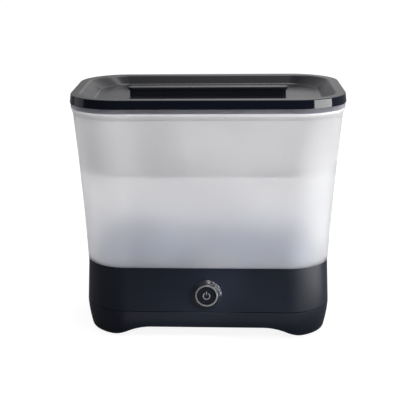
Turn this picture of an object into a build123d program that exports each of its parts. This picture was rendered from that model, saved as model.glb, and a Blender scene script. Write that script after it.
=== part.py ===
from build123d import *
import math
import os

# Electric steam sterilizer for feeding bottles, in millimetres.
# The origin is on the floor under the middle of the object.
# X runs along the front, the front looks to -Y and Z points up.

# Plan sizes of the lid, and how far each level below it stands in or out
lid_width = 330.0
lid_depth = 206.0
lid_corner = 60.0
band_overhang = 0.8
rim_taper = 0.3
rim_flare = 1.2
bead_flare = 1.4
tub_taper = 12.1
tub_bow = 1.1
tub_overhang = 0.6
base_corner = 51.0
base_flare = 2.6
foot_tuck = 5.6
cover_bow = 0.9

# Heights, stacked from the floor upwards
foot_height = 1.0
arch_height = 14.0
seam_height = 34.6
seam_gap = 0.6
housing_rise = 56.1
wall_rise = 183.0
bead_rise = 5.4
rim_rise = 2.9
rim_band = 5.6
band_height = 10.8

# Depths and offsets that hang on those heights
deck_drop = 12.0
recess_depth = 11.1
tray_depth = 70.1
button_lift = 0.65

# Wall thicknesses
housing_wall = 2.8
cover_wall = 2.4
deck_wall = 2.5
tub_wall = 2.2
tray_wall = 1.8
lid_wall = 2.4

# Clearances
slide_gap = 0.4
curve_gap = 0.35
drop_gap = 0.3
fit_gap = 0.2

# Feet, the arches between them, and the soft pads in them
foot_length = 19.4
arch_slope = 58.0
side_foot_length = 38.9
side_arch_slope = 25.0
foot_round = 4.0
pad_radius = 9.0
pad_height = 2.2
pad_inset_x = 21.9
pad_inset_y = 27.5
pad_edge = 0.8
pad_rim = 2.0
seam_edge = 0.5

# Lap joint of the two base halves, and the screws that close it
lip_height = 3.0
lip_wall = 1.6
lip_root = 1.4
case_screw_x = 60.0
case_screw_inset = 27.5
case_well_top = 24.0
case_well_wall = 2.4
boss_radius = 4.5
screw_radius = 1.5
screw_head_radius = 3.0
screw_head_height = 2.0
screw_bite = 9.0
screw_slot = 3.6
screw_slot_width = 0.8
well_gap = 0.6
well_wall = 2.0

# Water dish, its seal and the heater under it
dish_margin = 29.9
dish_flange = 8.0
dish_depth = 14.0
dish_sheet = 1.0
dish_round = 8.0
dish_gap = 1.0
seal_height = 2.0
seat_ring_width = 10.0
seat_ring_drop = 4.5
spreader_margin = 11.0
spreader_thickness = 3.0
element_radius = 3.25
element_margin = 11.0
element_opening = 70.0
element_sink = 2.0
pin_radius = 1.5
pin_length = 6.5
pin_inset = 4.0
bracket_width = 22.0
bracket_thickness = 1.6
bracket_margin = 15.0
bracket_end = 8.0
bracket_corner = 5.0
thermostat_radius = 8.0
thermostat_height = 11.0
blade_x = 4.0
blade_length = 7.0
blade_width = 6.0
blade_thickness = 0.8
fuse_radius = 2.0
fuse_length = 12.0
fuse_lead = 4.0
fuse_lead_radius = 0.6

# Push button on the front
collar_radius = 18.4
collar_step = 1.4
collar_rise = 1.0
collar_sink = 0.9
collar_sleeve = 16.0
sleeve_length = 5.2
ring_outer = 13.9
ring_inner = 11.95
ring_depth = 3.2
ring_edge = 0.5
flange_overlap = 0.95
collar_bore_extra = 0.4
collar_edge = 0.6
button_travel = 1.5
button_proud = 4.6
ring_proud = 0.6
cap_hollow = 0.6
cap_wall = 1.5
cap_edge = 0.6
stem_radius = 1.8
stem_gap = 0.5
spring_radius = 4.2
spring_wire = 0.35
spring_turns = 3.5
back_plate = 1.2

# Control board behind the button, and what it carries
board_width = 64.0
board_height = 34.0
board_thickness = 1.6
board_setback = 12.5
board_post_x = 27.0
board_post_radius = 3.5
board_screw_bite = 7.0
switch_size = 6.2
switch_depth = 3.6
switch_plunger = 1.4
plunger_radius = 1.7
led_x = 8.0
led_radius = 1.5
led_length = 4.5
relay_x = -15.0
relay_length = 18.0
relay_depth = 14.0
relay_height = 12.0
capacitor_x = 4.0
capacitor_radius = 4.5
capacitor_length = 15.0
parts_drop = 10.3
connector_x = 22.0
connector_pitch = 9.0
connector_edge = 4.5
connector_depth = 9.0
connector_height = 8.0
connector_bite = 3.0

# Inner wiring
wire_radius = 1.1
wire_bend = 4.0
wire_gap = 0.1
wire_lead = 19.0
wire_dip = 13.0

# Mains terminals behind the gland
terminal_pitch = 16.0
terminal_edge = 8.0
terminal_setback = 29.5
terminal_front = 4.0
terminal_back = 10.0
terminal_height = 12.0
terminal_z = 4.0
terminal_screw = 2.4
terminal_hole = 1.8

# Cord gland in the rear wall
gland_width = 14.0
gland_height = 12.0
gland_bore = 3.5
gland_length = 5.0
gland_flange = 2.0
gland_flange_extra = 2.0
gland_room = 12.0

# Steam tub details
skirt_height = 10.0
tub_ring_height = 3.0
tub_ring_inset = 1.6
tub_edge = 0.5
ledge_width = 13.0
ledge_thickness = 2.2
lug_reach = 4.3
lug_root = 0.8
lug_length = 18.0
lug_depth = 9.0
lug_y = 28.0
mark_radius = 5.0
mark_drop = 1.9
mark_top = 0.6
mark_proud = 0.5
mark_depth = 1.6

# Racks
rack_gap = 7.0
rack_corner = 38.0
rack_thickness = 2.4
rack_lip = 4.0
rack_edge = 4.5
bottle_columns = 3
bottle_rows = 2
peg_height = 30.0
peg_foot = 12.0
peg_tip = 6.0
peg_rib = 2.0
peg_plug = 3.0
slot_width = 3.6
slot_pitch = 10.0
slot_count = 5
slot_margin = 14.0
tray_slot_margin = 20.0
tray_flange = 2.0
tray_flange_gap = 2.0
tray_flange_reach = 4.8
tray_draft = 4.0
tray_corner = 46.0
tray_round = 6.0

# Lid details
band_wall = 2.2
band_draft = 1.2
band_round = 1.0
plug_wall = 2.0
rim_flat = 12.4
rim_round = 3.0
recess_run = 5.6
recess_round = 2.5
recess_wall = 3.0
band_edge = 0.5
grip_width = 197.0
grip_depth = 13.0
grip_corner = 6.0
grip_plate = 4.0
grip_undercut = 2.1
grip_round = 1.2
grip_sink = 0.2
grip_room = 4.6
grip_boss = 4.0
grip_screw_x = 70.0
grip_screw_gap = 1.0
vent_count = 7
vent_pitch = 20.0
vent_length = 13.0
vent_width = 3.0
vent_inset = 55.0

# Heights that follow from the stack
base_height = seam_height + housing_rise
deck_height = base_height - deck_drop
shoulder_height = base_height + wall_rise
bead_height = shoulder_height + bead_rise
rim_height = bead_height + rim_rise
tub_height = rim_height + rim_band
lid_height = tub_height + band_height
recess_floor = lid_height - recess_depth
tray_floor = shoulder_height - tray_depth
button_height = (seam_height + deck_height) / 2 + button_lift
rack_low = base_height - skirt_height + ledge_thickness
rack_top = rack_low + rack_thickness

# Plan sizes that follow from the lid
plan_difference = lid_width - lid_depth
rim_width = lid_width - 2 * band_overhang
rim_corner = lid_corner - band_overhang
bead_width = rim_width - 2 * rim_flare
bead_corner = rim_corner - rim_flare
shoulder_width = bead_width - 2 * bead_flare
shoulder_corner = bead_corner - bead_flare
tub_foot_width = shoulder_width - 2 * tub_taper
base_top_width = tub_foot_width - 2 * tub_overhang
tub_foot_corner = base_corner + tub_overhang
seam_width = base_top_width + 2 * base_flare
foot_width = seam_width - 2 * foot_tuck
tray_flange_width = shoulder_width - 2 * (tub_wall + tray_flange_gap)
tray_top_width = tray_flange_width - 2 * tray_flange_reach
tray_bottom_width = tray_top_width - 2 * tray_draft
skirt_inset = housing_wall + slide_gap
rack_width = base_top_width - 2 * (skirt_inset + tub_wall + rack_gap)
rack_depth = rack_width - plan_difference
bottle_pitch_x = (rack_width - 2 * rack_edge) / bottle_columns
bottle_pitch_y = (rack_depth - 2 * rack_edge) / bottle_rows

# Heater stack under the dish
dish_radius = (base_top_width - plan_difference) / 2 - dish_margin
dish_flange_radius = dish_radius + dish_flange
dish_hole = dish_radius + dish_gap
dish_floor = deck_height - dish_depth
seal_low = deck_height - dish_sheet - seal_height
spreader_radius = dish_radius - spreader_margin
spreader_floor = dish_floor - spreader_thickness
element_ring = spreader_radius - element_margin
element_height = spreader_floor + element_sink - fit_gap - element_radius
bracket_reach = dish_flange_radius + bracket_margin
bracket_top = element_height - element_radius - fit_gap
pin_end = element_height - element_radius - pin_length
thermostat_low = spreader_floor - thermostat_height
blade_end = thermostat_low - blade_length
fuse_offset = (thermostat_radius + element_ring - element_radius) / 2


def outline(width, corner, z, inset=0.0):
    """Rounded rectangle in plan at height z, shrunk by inset all round."""
    plan = RectangleRounded(
        width - 2 * inset, width - plan_difference - 2 * inset, corner - inset
    )
    return Pos(0, 0, z) * plan


def half_depth(width):
    """Half of the size along Y of a level that is this wide along X."""
    return (width - plan_difference) / 2


def block(width, corner, low, high, inset=0.0):
    """Upright block with a rounded plan."""
    return extrude(outline(width, corner, low, inset), amount=high - low)


def between(low, high, z):
    """Width and corner radius at height z on the straight line between two stations."""
    share = (z - low[2]) / (high[2] - low[2])
    return tuple(low[i] + (high[i] - low[i]) * share for i in (0, 1))


def rod_z(radius, low, high, x=0.0, y=0.0):
    """Upright round rod."""
    return Pos(x, y, (low + high) / 2) * Cylinder(radius, high - low)


def rod_y(radius, front, back, x=0.0, z=0.0):
    """Round rod that lies along Y."""
    return Pos(x, (front + back) / 2, z) * Rot(90, 0, 0) * Cylinder(radius, back - front)


def box(x0, x1, y0, y1, z0, z1):
    """Plain box between two corners."""
    centre = Pos((x0 + x1) / 2, (y0 + y1) / 2, (z0 + z1) / 2)
    return centre * Box(x1 - x0, y1 - y0, z1 - z0)


def corners(x, y):
    """The four places that mirror each other about the middle."""
    return [(sx * x, sy * y) for sx in (-1, 1) for sy in (-1, 1)]


def screw_up(x, y, seat, tip):
    """Screw that points up, with its head below the seat and a cross in the head."""
    low = seat - screw_head_height
    screw = rod_z(screw_head_radius, low, seat, x, y) + rod_z(screw_radius, seat, tip, x, y)
    for angle in (0, 90):
        cut = Box(screw_slot, screw_slot_width, screw_head_height)
        screw -= Pos(x, y, low) * Rot(0, 0, angle) * cut
    return screw


base_low = (seam_width, base_corner + base_flare, seam_height)
base_high = (base_top_width, base_corner, base_height)
foot_low = (foot_width, base_low[1] - foot_tuck, foot_height)
tub_low = (tub_foot_width, tub_foot_corner, base_height)
tub_high = (shoulder_width, shoulder_corner, shoulder_height)


def bowed(low, high, bow):
    """Level halfway between two others, standing out by bow."""
    z = (low[2] + high[2]) / 2
    width, corner = between(low, high, z)
    return width + 2 * bow, corner + bow, z


def base_at(z):
    """Outer width and corner of the base housing at height z."""
    return between(base_low, base_high, z)


def base_front(z):
    """Half depth of the base housing at height z."""
    return half_depth(base_at(z)[0])


# Places that hang on the walls
pad_x = foot_width / 2 - pad_inset_x
pad_y = half_depth(foot_width) - pad_inset_y
case_screw_y = half_depth(seam_width) - case_screw_inset
head_seat = case_well_top - case_well_wall
base_face = base_front(button_height)
collar_seat = base_face - collar_sink
sleeve_end = collar_seat - sleeve_length
button_front = base_face + button_proud
ring_back = button_front - ring_depth
board_front = base_face - board_setback
board_back = board_front - board_thickness
plunger_end = board_front + switch_depth + switch_plunger
connector_places = (connector_x - connector_pitch / 2, connector_x + connector_pitch / 2)
connector_z = button_height - parts_drop
connector_end = board_back - connector_bite
base_rear = half_depth(seam_width)
terminal_x = terminal_pitch / 2
terminal_y = base_rear - terminal_setback
cover_floor = arch_height + cover_wall
wire_floor = cover_floor + terminal_z
vent_y = lid_depth / 2 - vent_inset
lid_floor = recess_floor - lid_wall
grip_top = lid_height - grip_sink
grip_foot = grip_top - grip_plate
plug_inset = tub_wall + rim_taper + curve_gap
screw_hole = screw_radius + fit_gap


def base_housing():
    """Upper half of the base: outer wall, deck with the dish seat, bosses and posts."""
    bottom = seam_height + seam_gap
    shell = loft([outline(*base_at(bottom), bottom), outline(*base_high)], ruled=True)
    shell = fillet(shell.faces().sort_by(Axis.Z)[0].edges(), seam_edge)
    shell -= block(base_top_width, base_corner, deck_height, base_height + 1, housing_wall)
    under = deck_height - deck_wall
    shell -= loft(
        [
            outline(*base_at(bottom - 1), bottom - 1, housing_wall),
            outline(*base_at(under), under, housing_wall),
        ],
        ruled=True,
    )
    shell += rod_z(dish_hole + seat_ring_width, under - seat_ring_drop, under)
    shell -= rod_z(dish_hole, under - seat_ring_drop - 1, deck_height + 1)
    shell -= rod_z(dish_flange_radius + drop_gap, seal_low, deck_height + 1)
    for x, y in corners(case_screw_x, case_screw_y):
        shell += rod_z(boss_radius, case_well_top, under, x, y)
        shell -= rod_z(screw_radius, case_well_top - 1, case_well_top + screw_bite, x, y)
    for x in (-bracket_reach, bracket_reach):
        shell += rod_z(boss_radius, bracket_top, under, x, 0)
        shell -= rod_z(screw_radius, bracket_top - 1, bracket_top + screw_bite, x, 0)
    wall_in = base_face - housing_wall
    post_hole = board_front + board_screw_bite
    for x in (-board_post_x, board_post_x):
        shell += rod_y(board_post_radius, -wall_in - 1, -board_front, x, button_height)
        shell -= rod_y(screw_radius, -post_hole, -board_front + 1, x, button_height)
    room = collar_sleeve + fit_gap
    shell -= rod_y(collar_radius + fit_gap, -lid_depth, -collar_seat, 0, button_height)
    shell -= rod_y(room, -lid_depth, -plunger_end + collar_rise, 0, button_height)
    return shell


def arch(flat, span, height, length, turn):
    """Prism of the open space between two feet, with an S-curve at each side."""
    half, low = flat / 2, span / 2
    middle = ((half + low) / 2, (foot_height + height) / 2)
    below = -foot_height
    right = [
        TangentArc((half, height), middle, tangent=(1, 0)),
        TangentArc((low, foot_height), middle, tangent=(-1, 0)),
        Line((low, foot_height), (low, below)),
    ]
    left = [mirror(edge, about=Plane.YZ) for edge in right]
    closed = [Line((-half, height), (half, height)), Line((-low, below), (low, below))]
    face = make_face(right + left + closed)
    prism = extrude(Plane.XZ * face, amount=length / 2, both=True)
    return Rot(0, 0, turn) * prism


def arches(grow):
    """Both pairs of openings under the base, grown upwards and outwards by grow."""
    height = arch_height + grow
    long_span = foot_width - 2 * foot_length
    short_span = foot_width - plan_difference - 2 * side_foot_length
    long_flat = long_span - 2 * arch_slope
    short_flat = short_span - 2 * side_arch_slope
    long_way = arch(long_flat, long_span + 2 * grow, height, lid_depth, 0)
    short_way = arch(short_flat, short_span + 2 * grow, height, lid_width, 90)
    return long_way + short_way


def bottom_cover():
    """Lower half of the base: four hollow feet, arches, screw wells and the lap lip."""
    middle = bowed(foot_low, base_low, cover_bow)
    body = loft([outline(*foot_low), outline(*middle), outline(*base_low)])
    body = fillet(body.faces().sort_by(Axis.Z)[0].edges(), foot_round)
    body = fillet(body.faces().sort_by(Axis.Z)[-1].edges(), seam_edge)
    floor = foot_height + cover_wall
    room = loft(
        [
            outline(*foot_low[:2], floor, cover_wall + foot_height),
            outline(*middle, cover_wall),
            outline(*base_low[:2], seam_height + 1, cover_wall),
        ]
    )
    body -= room - arches(cover_wall)
    body -= arches(0)
    lip_outer = housing_wall + fit_gap
    lap = seam_height - lip_height
    lip = block(*base_low[:2], lap, seam_height + lip_height, lip_outer)
    lip += block(*base_low[:2], lap, seam_height - seam_edge, lip_root)
    lip -= block(*base_low[:2], lap - 1, seam_height + lip_height + 1, lip_outer + lip_wall)
    body += lip
    head_hole = screw_head_radius + well_gap
    for x, y in corners(case_screw_x, case_screw_y):
        body += rod_z(head_hole + well_wall, arch_height, case_well_top, x, y)
        body -= rod_z(head_hole, 0, head_seat, x, y)
        body -= rod_z(screw_hole, 0, case_well_top + 1, x, y)
    for x, y in corners(pad_x, pad_y):
        body -= rod_z(pad_radius, 0, pad_height, x, y)
        body += rod_z(pad_radius + pad_rim, pad_height, pad_height + cover_wall, x, y)
    low = seam_height - gland_height
    half = gland_width / 2
    front, back = base_rear - gland_room, base_rear + gland_length
    body -= box(-half, half, front, back, low, seam_height + lip_height + 1)
    return body


def foot_pads():
    """Four soft pads pushed into the feet."""
    pads = [rod_z(pad_radius, 0, pad_height, x, y) for x, y in corners(pad_x, pad_y)]
    return [chamfer(pad.edges().group_by(Axis.Z)[0], pad_edge) for pad in pads]


def case_screws():
    tip = case_well_top + screw_bite
    return [screw_up(x, y, head_seat, tip) for x, y in corners(case_screw_x, case_screw_y)]


def heater_dish():
    """Pressed water dish with a flat flange that rests on the seal."""
    top = deck_height
    outer = rod_z(dish_radius, dish_floor, top)
    outer = fillet(outer.edges().group_by(Axis.Z)[0], dish_round)
    inner = rod_z(dish_radius - dish_sheet, dish_floor + dish_sheet, top + 1)
    inner = fillet(inner.edges().group_by(Axis.Z)[0], dish_round - dish_sheet)
    return outer + rod_z(dish_flange_radius, top - dish_sheet, top) - inner


def dish_seal():
    high = seal_low + seal_height
    return rod_z(dish_flange_radius, seal_low, high) - rod_z(
        dish_hole + fit_gap, seal_low - 1, high + 1
    )


def heat_spreader():
    """Round plate under the dish with a groove that holds the heating element."""
    plate = rod_z(spreader_radius, spreader_floor, dish_floor)
    side = element_radius + fit_gap
    top = spreader_floor + element_sink
    groove = rod_z(element_ring + side, spreader_floor - 1, top)
    groove -= rod_z(element_ring - side, spreader_floor - 2, top + 1)
    return plate - groove


def element_pin(side):
    """Place of the terminal pin near one end of the heating rod."""
    angle = math.radians(-90 + side * (element_opening / 2 + pin_inset))
    return element_ring * math.cos(angle), element_ring * math.sin(angle)


def heating_element():
    """Sheathed heating rod bent to an open ring, with a pin down from each end."""
    start = -90 + element_opening / 2
    path = CenterArc((0, 0, element_height), element_ring, start, 360 - element_opening)
    rod = sweep(Plane(origin=path @ 0, z_dir=path % 0) * Circle(element_radius), path=path)
    for side in (-1, 1):
        x, y = element_pin(side)
        rod += rod_z(pin_radius, pin_end, element_height, x, y)
    return rod


def heater_bracket():
    """Strap that holds the element and plate up against the dish."""
    low = bracket_top - bracket_thickness
    half = bracket_width / 2
    reach = bracket_reach + bracket_end
    strap = box(-reach, reach, -half, half, low, bracket_top)
    strap = fillet(strap.edges().filter_by(Axis.Z), bracket_corner)
    strap -= rod_z(thermostat_radius + 1, low - 1, bracket_top + 1)
    for x in (-bracket_reach, bracket_reach):
        strap -= rod_z(screw_hole, low - 1, bracket_top + 1, x, 0)
    return strap


def bracket_screws():
    low = bracket_top - bracket_thickness
    tip = bracket_top + screw_bite
    return [screw_up(x, 0, low, tip) for x in (-bracket_reach, bracket_reach)]


def thermostat():
    """Disc thermostat against the middle of the plate, with two blades."""
    body = rod_z(thermostat_radius, thermostat_low, spreader_floor)
    thick, wide = blade_thickness / 2, blade_width / 2
    for x in (-blade_x, blade_x):
        body += box(x - thick, x + thick, -wide, wide, blade_end, thermostat_low)
    return body


def thermal_fuse():
    """Round fuse that lies against the plate behind the thermostat."""
    place = Pos(0, fuse_offset, spreader_floor - fuse_radius - wire_gap) * Rot(0, 90, 0)
    lead = Cylinder(fuse_lead_radius, fuse_length + 2 * fuse_lead)
    return place * (Cylinder(fuse_radius, fuse_length) + lead)


def button_collar():
    """Stepped ring round the button, with a sleeve and a back plate for the spring."""
    z = button_height
    collar = None
    for step in (0, 1, 2):
        radius = collar_radius - step * collar_step
        front = collar_seat + (step + 2) * collar_rise
        disc = rod_y(radius, -front, -collar_seat, 0, z)
        disc = fillet(disc.edges().group_by(Axis.Y)[0], collar_edge)
        collar = disc if collar is None else collar + disc
    collar += rod_y(collar_sleeve, -collar_seat - 1, -sleeve_end, 0, z)
    bore = ring_inner + flange_overlap + collar_bore_extra
    collar -= rod_y(bore, -lid_depth, -sleeve_end - back_plate, 0, z)
    collar -= rod_y(ring_outer, -lid_depth, -ring_back, 0, z)
    collar -= rod_y(stem_radius + stem_gap, -lid_depth, 0, 0, z)
    collar -= rod_y(led_radius + drop_gap, -lid_depth, 0, led_x, z)
    return collar


def button_ring():
    """Bright trim ring pressed into the collar."""
    ring = rod_y(ring_outer, -button_front, -ring_back, 0, button_height)
    ring = fillet(ring.edges().group_by(Axis.Y)[0], ring_edge)
    return ring - rod_y(ring_inner, -lid_depth, 0, 0, button_height)


def button_cap():
    """Cap with a shallow finger hollow, a retaining flange and a central stem."""
    z = button_height
    face = button_front - ring_proud
    flange_front = ring_back - drop_gap
    flange_back = flange_front - cap_wall
    radius = ring_inner - curve_gap
    cap = rod_y(radius, -face, -flange_back, 0, z)
    cap = fillet(cap.edges().group_by(Axis.Y)[0], cap_edge)
    sphere_radius = (radius**2 + cap_hollow**2) / (2 * cap_hollow)
    cap -= Pos(0, -face - sphere_radius + cap_hollow, z) * Sphere(sphere_radius)
    cap += rod_y(ring_inner + flange_overlap, -flange_front, -flange_back, 0, z)
    cap -= rod_y(radius - cap_wall, -face + cap_hollow + cap_wall, 0, 0, z)
    stem_end = plunger_end + button_travel + fit_gap
    cap += rod_y(stem_radius, -face + cap_hollow + cap_wall / 2, -stem_end, 0, z)
    return cap


def button_spring():
    """Return spring round the stem, between the cap and the back plate."""
    start = sleeve_end + back_plate + spring_wire
    end = button_front - ring_proud - cap_hollow - cap_wall - spring_wire
    length = end - start
    path = Helix(
        pitch=length / spring_turns,
        height=length,
        radius=spring_radius,
        center=(0, -start, button_height),
        direction=(0, -1, 0),
    )
    section = Plane(origin=path @ 0, z_dir=path % 0) * RegularPolygon(spring_wire, 4)
    return sweep(section, path=path, is_frenet=True)


def control_board():
    """Upright board behind the button, screwed to two posts."""
    half = board_width / 2
    low = button_height - board_height / 2
    board = box(-half, half, -board_front, -board_back, low, low + board_height)
    for x in (-board_post_x, board_post_x):
        board -= rod_y(screw_hole, -board_front - 1, 0, x, button_height)
    return board


def board_screws():
    """Two screws from behind through the board into its posts."""
    tip = board_front + board_screw_bite
    head_end = board_back - screw_head_height
    screws = []
    for x in (-board_post_x, board_post_x):
        shank = rod_y(screw_radius, -tip, -board_back, x, button_height)
        head = rod_y(screw_head_radius, -board_back, -head_end, x, button_height)
        screws.append(shank + head)
    return screws


def tact_switch():
    """Small switch on the board, pressed by the stem at the end of its travel."""
    half = switch_size / 2
    z = button_height
    face = board_front + switch_depth
    body = box(-half, half, -face, -board_front, z - half, z + half)
    return body + rod_y(plunger_radius, -plunger_end, -face, 0, z)


def indicator_led():
    """Lamp that lights the cap through a hole in the collar's back plate."""
    lamp = rod_y(led_radius, -board_front - led_length, -board_front, led_x, button_height)
    return chamfer(lamp.edges().group_by(Axis.Y)[0], led_radius / 2)


def relay():
    half, tall = relay_length / 2, relay_height / 2
    z = button_height - parts_drop
    end = board_back - relay_depth
    return box(relay_x - half, relay_x + half, -board_back, -end, z - tall, z + tall)


def capacitor():
    z = button_height - parts_drop
    end = board_back - capacitor_length
    return rod_y(capacitor_radius, -board_back, -end, capacitor_x, z)


def board_connector():
    """Two-way plug on the back of the board."""
    left, right = connector_places
    low = connector_z - connector_height / 2
    high = connector_z + connector_height / 2
    end = board_back - connector_depth
    edge = connector_edge
    body = box(left - edge, right + edge, -board_back, -end, low, high)
    for x in connector_places:
        body -= rod_y(wire_radius + wire_gap, -connector_end, 0, x, connector_z)
    return body


def terminal_block():
    """Mains terminals on the floor of the cover, just inside the gland."""
    front, back = terminal_y - terminal_front, terminal_y + terminal_back
    middle = (front + back) / 2
    half = terminal_x + terminal_edge
    top = cover_floor + terminal_height
    body = box(-half, half, front, back, cover_floor, top)
    for x in (-terminal_x, terminal_x):
        body -= rod_z(terminal_screw, wire_floor + terminal_screw, top + 1, x, middle)
        body -= rod_y(wire_radius + wire_gap, front - 1, terminal_y, x, wire_floor)
        body -= rod_y(terminal_hole, back - terminal_front, back + 1, x, wire_floor)
    return body


def cord_gland():
    """Bushing of the mains inlet, held in the notch between the two base halves."""
    low, high = seam_height - gland_height, seam_height
    half = gland_width / 2
    extra = gland_flange_extra
    face = base_rear + drop_gap
    outer = face + gland_flange
    inner = base_rear - gland_length
    body = box(-half, half, inner, face, low, high)
    body += box(-half - extra, half + extra, face, outer, low - extra, high)
    body -= rod_y(gland_bore, inner - 1, outer + 1, 0, (low + high) / 2)
    return body


def wire(points):
    """Insulated wire along straight runs joined by arcs."""
    path = FilletPolyline(*points, radius=wire_bend)
    return sweep(Plane(origin=path @ 0, z_dir=path % 0) * Circle(wire_radius), path=path)


def mains_wires():
    """Two wires from the terminals: one to the board and one to the thermostat."""
    near = connector_places[1]
    turn = terminal_y / 3
    to_board = [
        (terminal_x, terminal_y, wire_floor),
        (terminal_x, turn, wire_floor),
        (near, -turn, wire_floor),
        (near, -connector_end + wire_lead, connector_z),
        (near, -connector_end, connector_z),
    ]
    to_blade = [
        (-terminal_x, terminal_y, wire_floor),
        (-terminal_x, turn, wire_floor),
        (-blade_x, 0, wire_floor + blade_width),
        (-blade_x, 0, blade_end),
    ]
    return [wire(to_board), wire(to_blade)]


def element_wires():
    """Wires from the thermostat and from the board to the two pins of the element."""
    right, left = element_pin(1), element_pin(-1)
    far = connector_places[0]
    low = pin_end - wire_dip
    lead = -connector_end + wire_lead
    from_blade = [(blade_x, 0, blade_end), (blade_x, 0, low), (*right, low), (*right, pin_end)]
    from_board = [
        (far, -connector_end, connector_z),
        (far, lead, connector_z),
        (0, lead + wire_dip / 2, low),
        (*left, low),
        (*left, pin_end),
    ]
    return [wire(from_blade), wire(from_board)]


def tub():
    """Steam chamber: tapered wall, stepped rim, inner skirt, rack ledge and tray lugs."""
    middle = bowed(tub_low, tub_high, -tub_bow)

    def wall(inset):
        side = loft([outline(*place, inset) for place in (tub_low, middle, tub_high)])
        bead = (bead_width, bead_corner, bead_height)
        step = (rim_width - 2 * rim_taper, rim_corner - rim_taper, rim_height)
        top = (rim_width, rim_corner, tub_height)
        for low, high in ((tub_high, bead), (bead, step), (step, top)):
            side += loft([outline(*low, inset), outline(*high, inset)], ruled=True)
        return side

    inside = skirt_inset + tub_wall
    ledge_low = base_height - skirt_height
    top = base_height + tub_ring_height
    body = wall(0)
    body = fillet(body.faces().sort_by(Axis.Z)[0].edges(), tub_edge) - wall(tub_wall)
    body += block(tub_foot_width, tub_foot_corner, base_height, top, tub_ring_inset)
    body += block(base_top_width, base_corner, ledge_low, base_height, skirt_inset)
    body -= block(base_top_width, base_corner, rack_low, top, inside)
    body -= block(base_top_width, base_corner, ledge_low - 1, top, inside + ledge_width)
    return body + tray_lugs() + front_mark()


def tray_lugs():
    """Four small gussets inside the two end walls that carry the upper tray."""
    inner = shoulder_width / 2 - tub_wall
    tip, root = inner - lug_reach, inner + lug_root
    height = shoulder_height
    face = make_face(
        Polyline((tip, height), (root, height), (root, height - lug_depth), close=True)
    )
    lug = extrude(Plane.XZ * face, amount=lug_length / 2, both=True)
    lugs = []
    for y in (-lug_y, lug_y):
        lugs.append(Pos(0, y, 0) * lug)
        lugs.append(Pos(0, y, 0) * Rot(0, 0, 180) * lug)
    return lugs


def front_mark():
    """Half-moon under the bead that shows which way the lid goes on."""
    wall = half_depth(bead_width)
    middle = bead_height - mark_drop + mark_radius
    disc = rod_y(mark_radius, -wall - mark_proud, -wall + mark_depth, 0, middle)
    keep = box(
        -mark_radius, mark_radius, -wall - mark_proud, -wall + mark_depth,
        bead_height - mark_drop, bead_height + mark_top,
    )
    return disc & keep


def bottle_places():
    """Middles of the bottles, in rows along X."""
    columns = [i - (bottle_columns - 1) / 2 for i in range(bottle_columns)]
    rows = [i - (bottle_rows - 1) / 2 for i in range(bottle_rows)]
    return [(x * bottle_pitch_x, y * bottle_pitch_y) for x in columns for y in rows]


def slot_rows(length, low, high):
    """Drain slots in a round group about each bottle, longest in the middle."""
    reach = length / 2
    half_width = slot_width / 2
    clear = peg_foot / 2 + peg_plug
    slots = []
    for x, y in bottle_places():
        for i in range(slot_count):
            offset = (i - (slot_count - 1) / 2) * slot_pitch
            half = math.sqrt(max(reach**2 - offset**2, slot_pitch**2))
            spans = [(-half, -clear), (clear, half)] if i == slot_count // 2 else [(-half, half)]
            left, right = x + offset - half_width, x + offset + half_width
            for start, end in spans:
                slots.append(box(left, right, y + start, y + end, low, high))
    return slots


def rack_tray():
    """Drain grid that carries the bottles, on the ledge of the tub."""
    tray = block(rack_width, rack_corner, rack_low, rack_top + rack_lip)
    tray -= block(rack_width, rack_corner, rack_top, rack_top + rack_lip + 1, rack_thickness)
    tray -= slot_rows(bottle_pitch_y - slot_margin, rack_low - 1, rack_top + 1)
    plug = Box(2 * peg_plug, 2 * peg_plug, 4 * rack_thickness)
    return tray - [Pos(x, y, rack_top) * plug for x, y in bottle_places()]


def bottle_pegs():
    """Six pegs with crossed ribs that keep upturned bottles upright."""
    foot, tip = peg_foot / 2, peg_tip / 2
    top = rack_top + peg_height
    face = make_face(
        Polyline((-foot, rack_top), (foot, rack_top), (tip, top), (-tip, top), close=True)
    )
    rib = extrude(Plane.XZ * face, amount=peg_rib / 2, both=True)
    peg = rib + Rot(0, 0, 90) * rib
    peg += box(-peg_plug, peg_plug, -peg_plug, peg_plug, rack_low, rack_top)
    return [Pos(x, y, 0) * peg for x, y in bottle_places()]


def upper_tray():
    """Basket for teats and small parts, hung by its flange on the tub's lugs."""
    top = shoulder_height
    low = (tray_bottom_width, tray_corner, tray_floor)
    high = (tray_top_width, tray_corner + tray_draft, top)
    tray = loft([outline(*low), outline(*high)], ruled=True)
    tray = fillet(tray.faces().sort_by(Axis.Z)[0].edges(), tray_round)
    flange_corner = high[1] + tray_flange_reach
    tray += block(tray_flange_width, flange_corner, top, top + tray_flange)
    floor = tray_floor + tray_wall
    inside = loft([outline(*low[:2], floor, tray_wall), outline(*high, tray_wall)], ruled=True)
    inside = fillet(inside.faces().sort_by(Axis.Z)[0].edges(), tray_round - tray_wall)
    inside += block(*high[:2], top, top + tray_flange + 1, tray_wall)
    tray -= inside
    return tray - slot_rows(bottle_pitch_y - tray_slot_margin, tray_floor - 1, floor + 1)


def recess(drop, spread):
    """Dished space of the lid, sunk by drop and spread outwards, as a solid."""
    tool = loft(
        [
            outline(lid_width, lid_corner, recess_floor - drop, rim_flat + recess_run - spread),
            outline(lid_width, lid_corner, lid_height, rim_flat - spread),
        ],
        ruled=True,
    )
    return fillet(tool.faces().sort_by(Axis.Z)[0].edges(), recess_round + drop)


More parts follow.
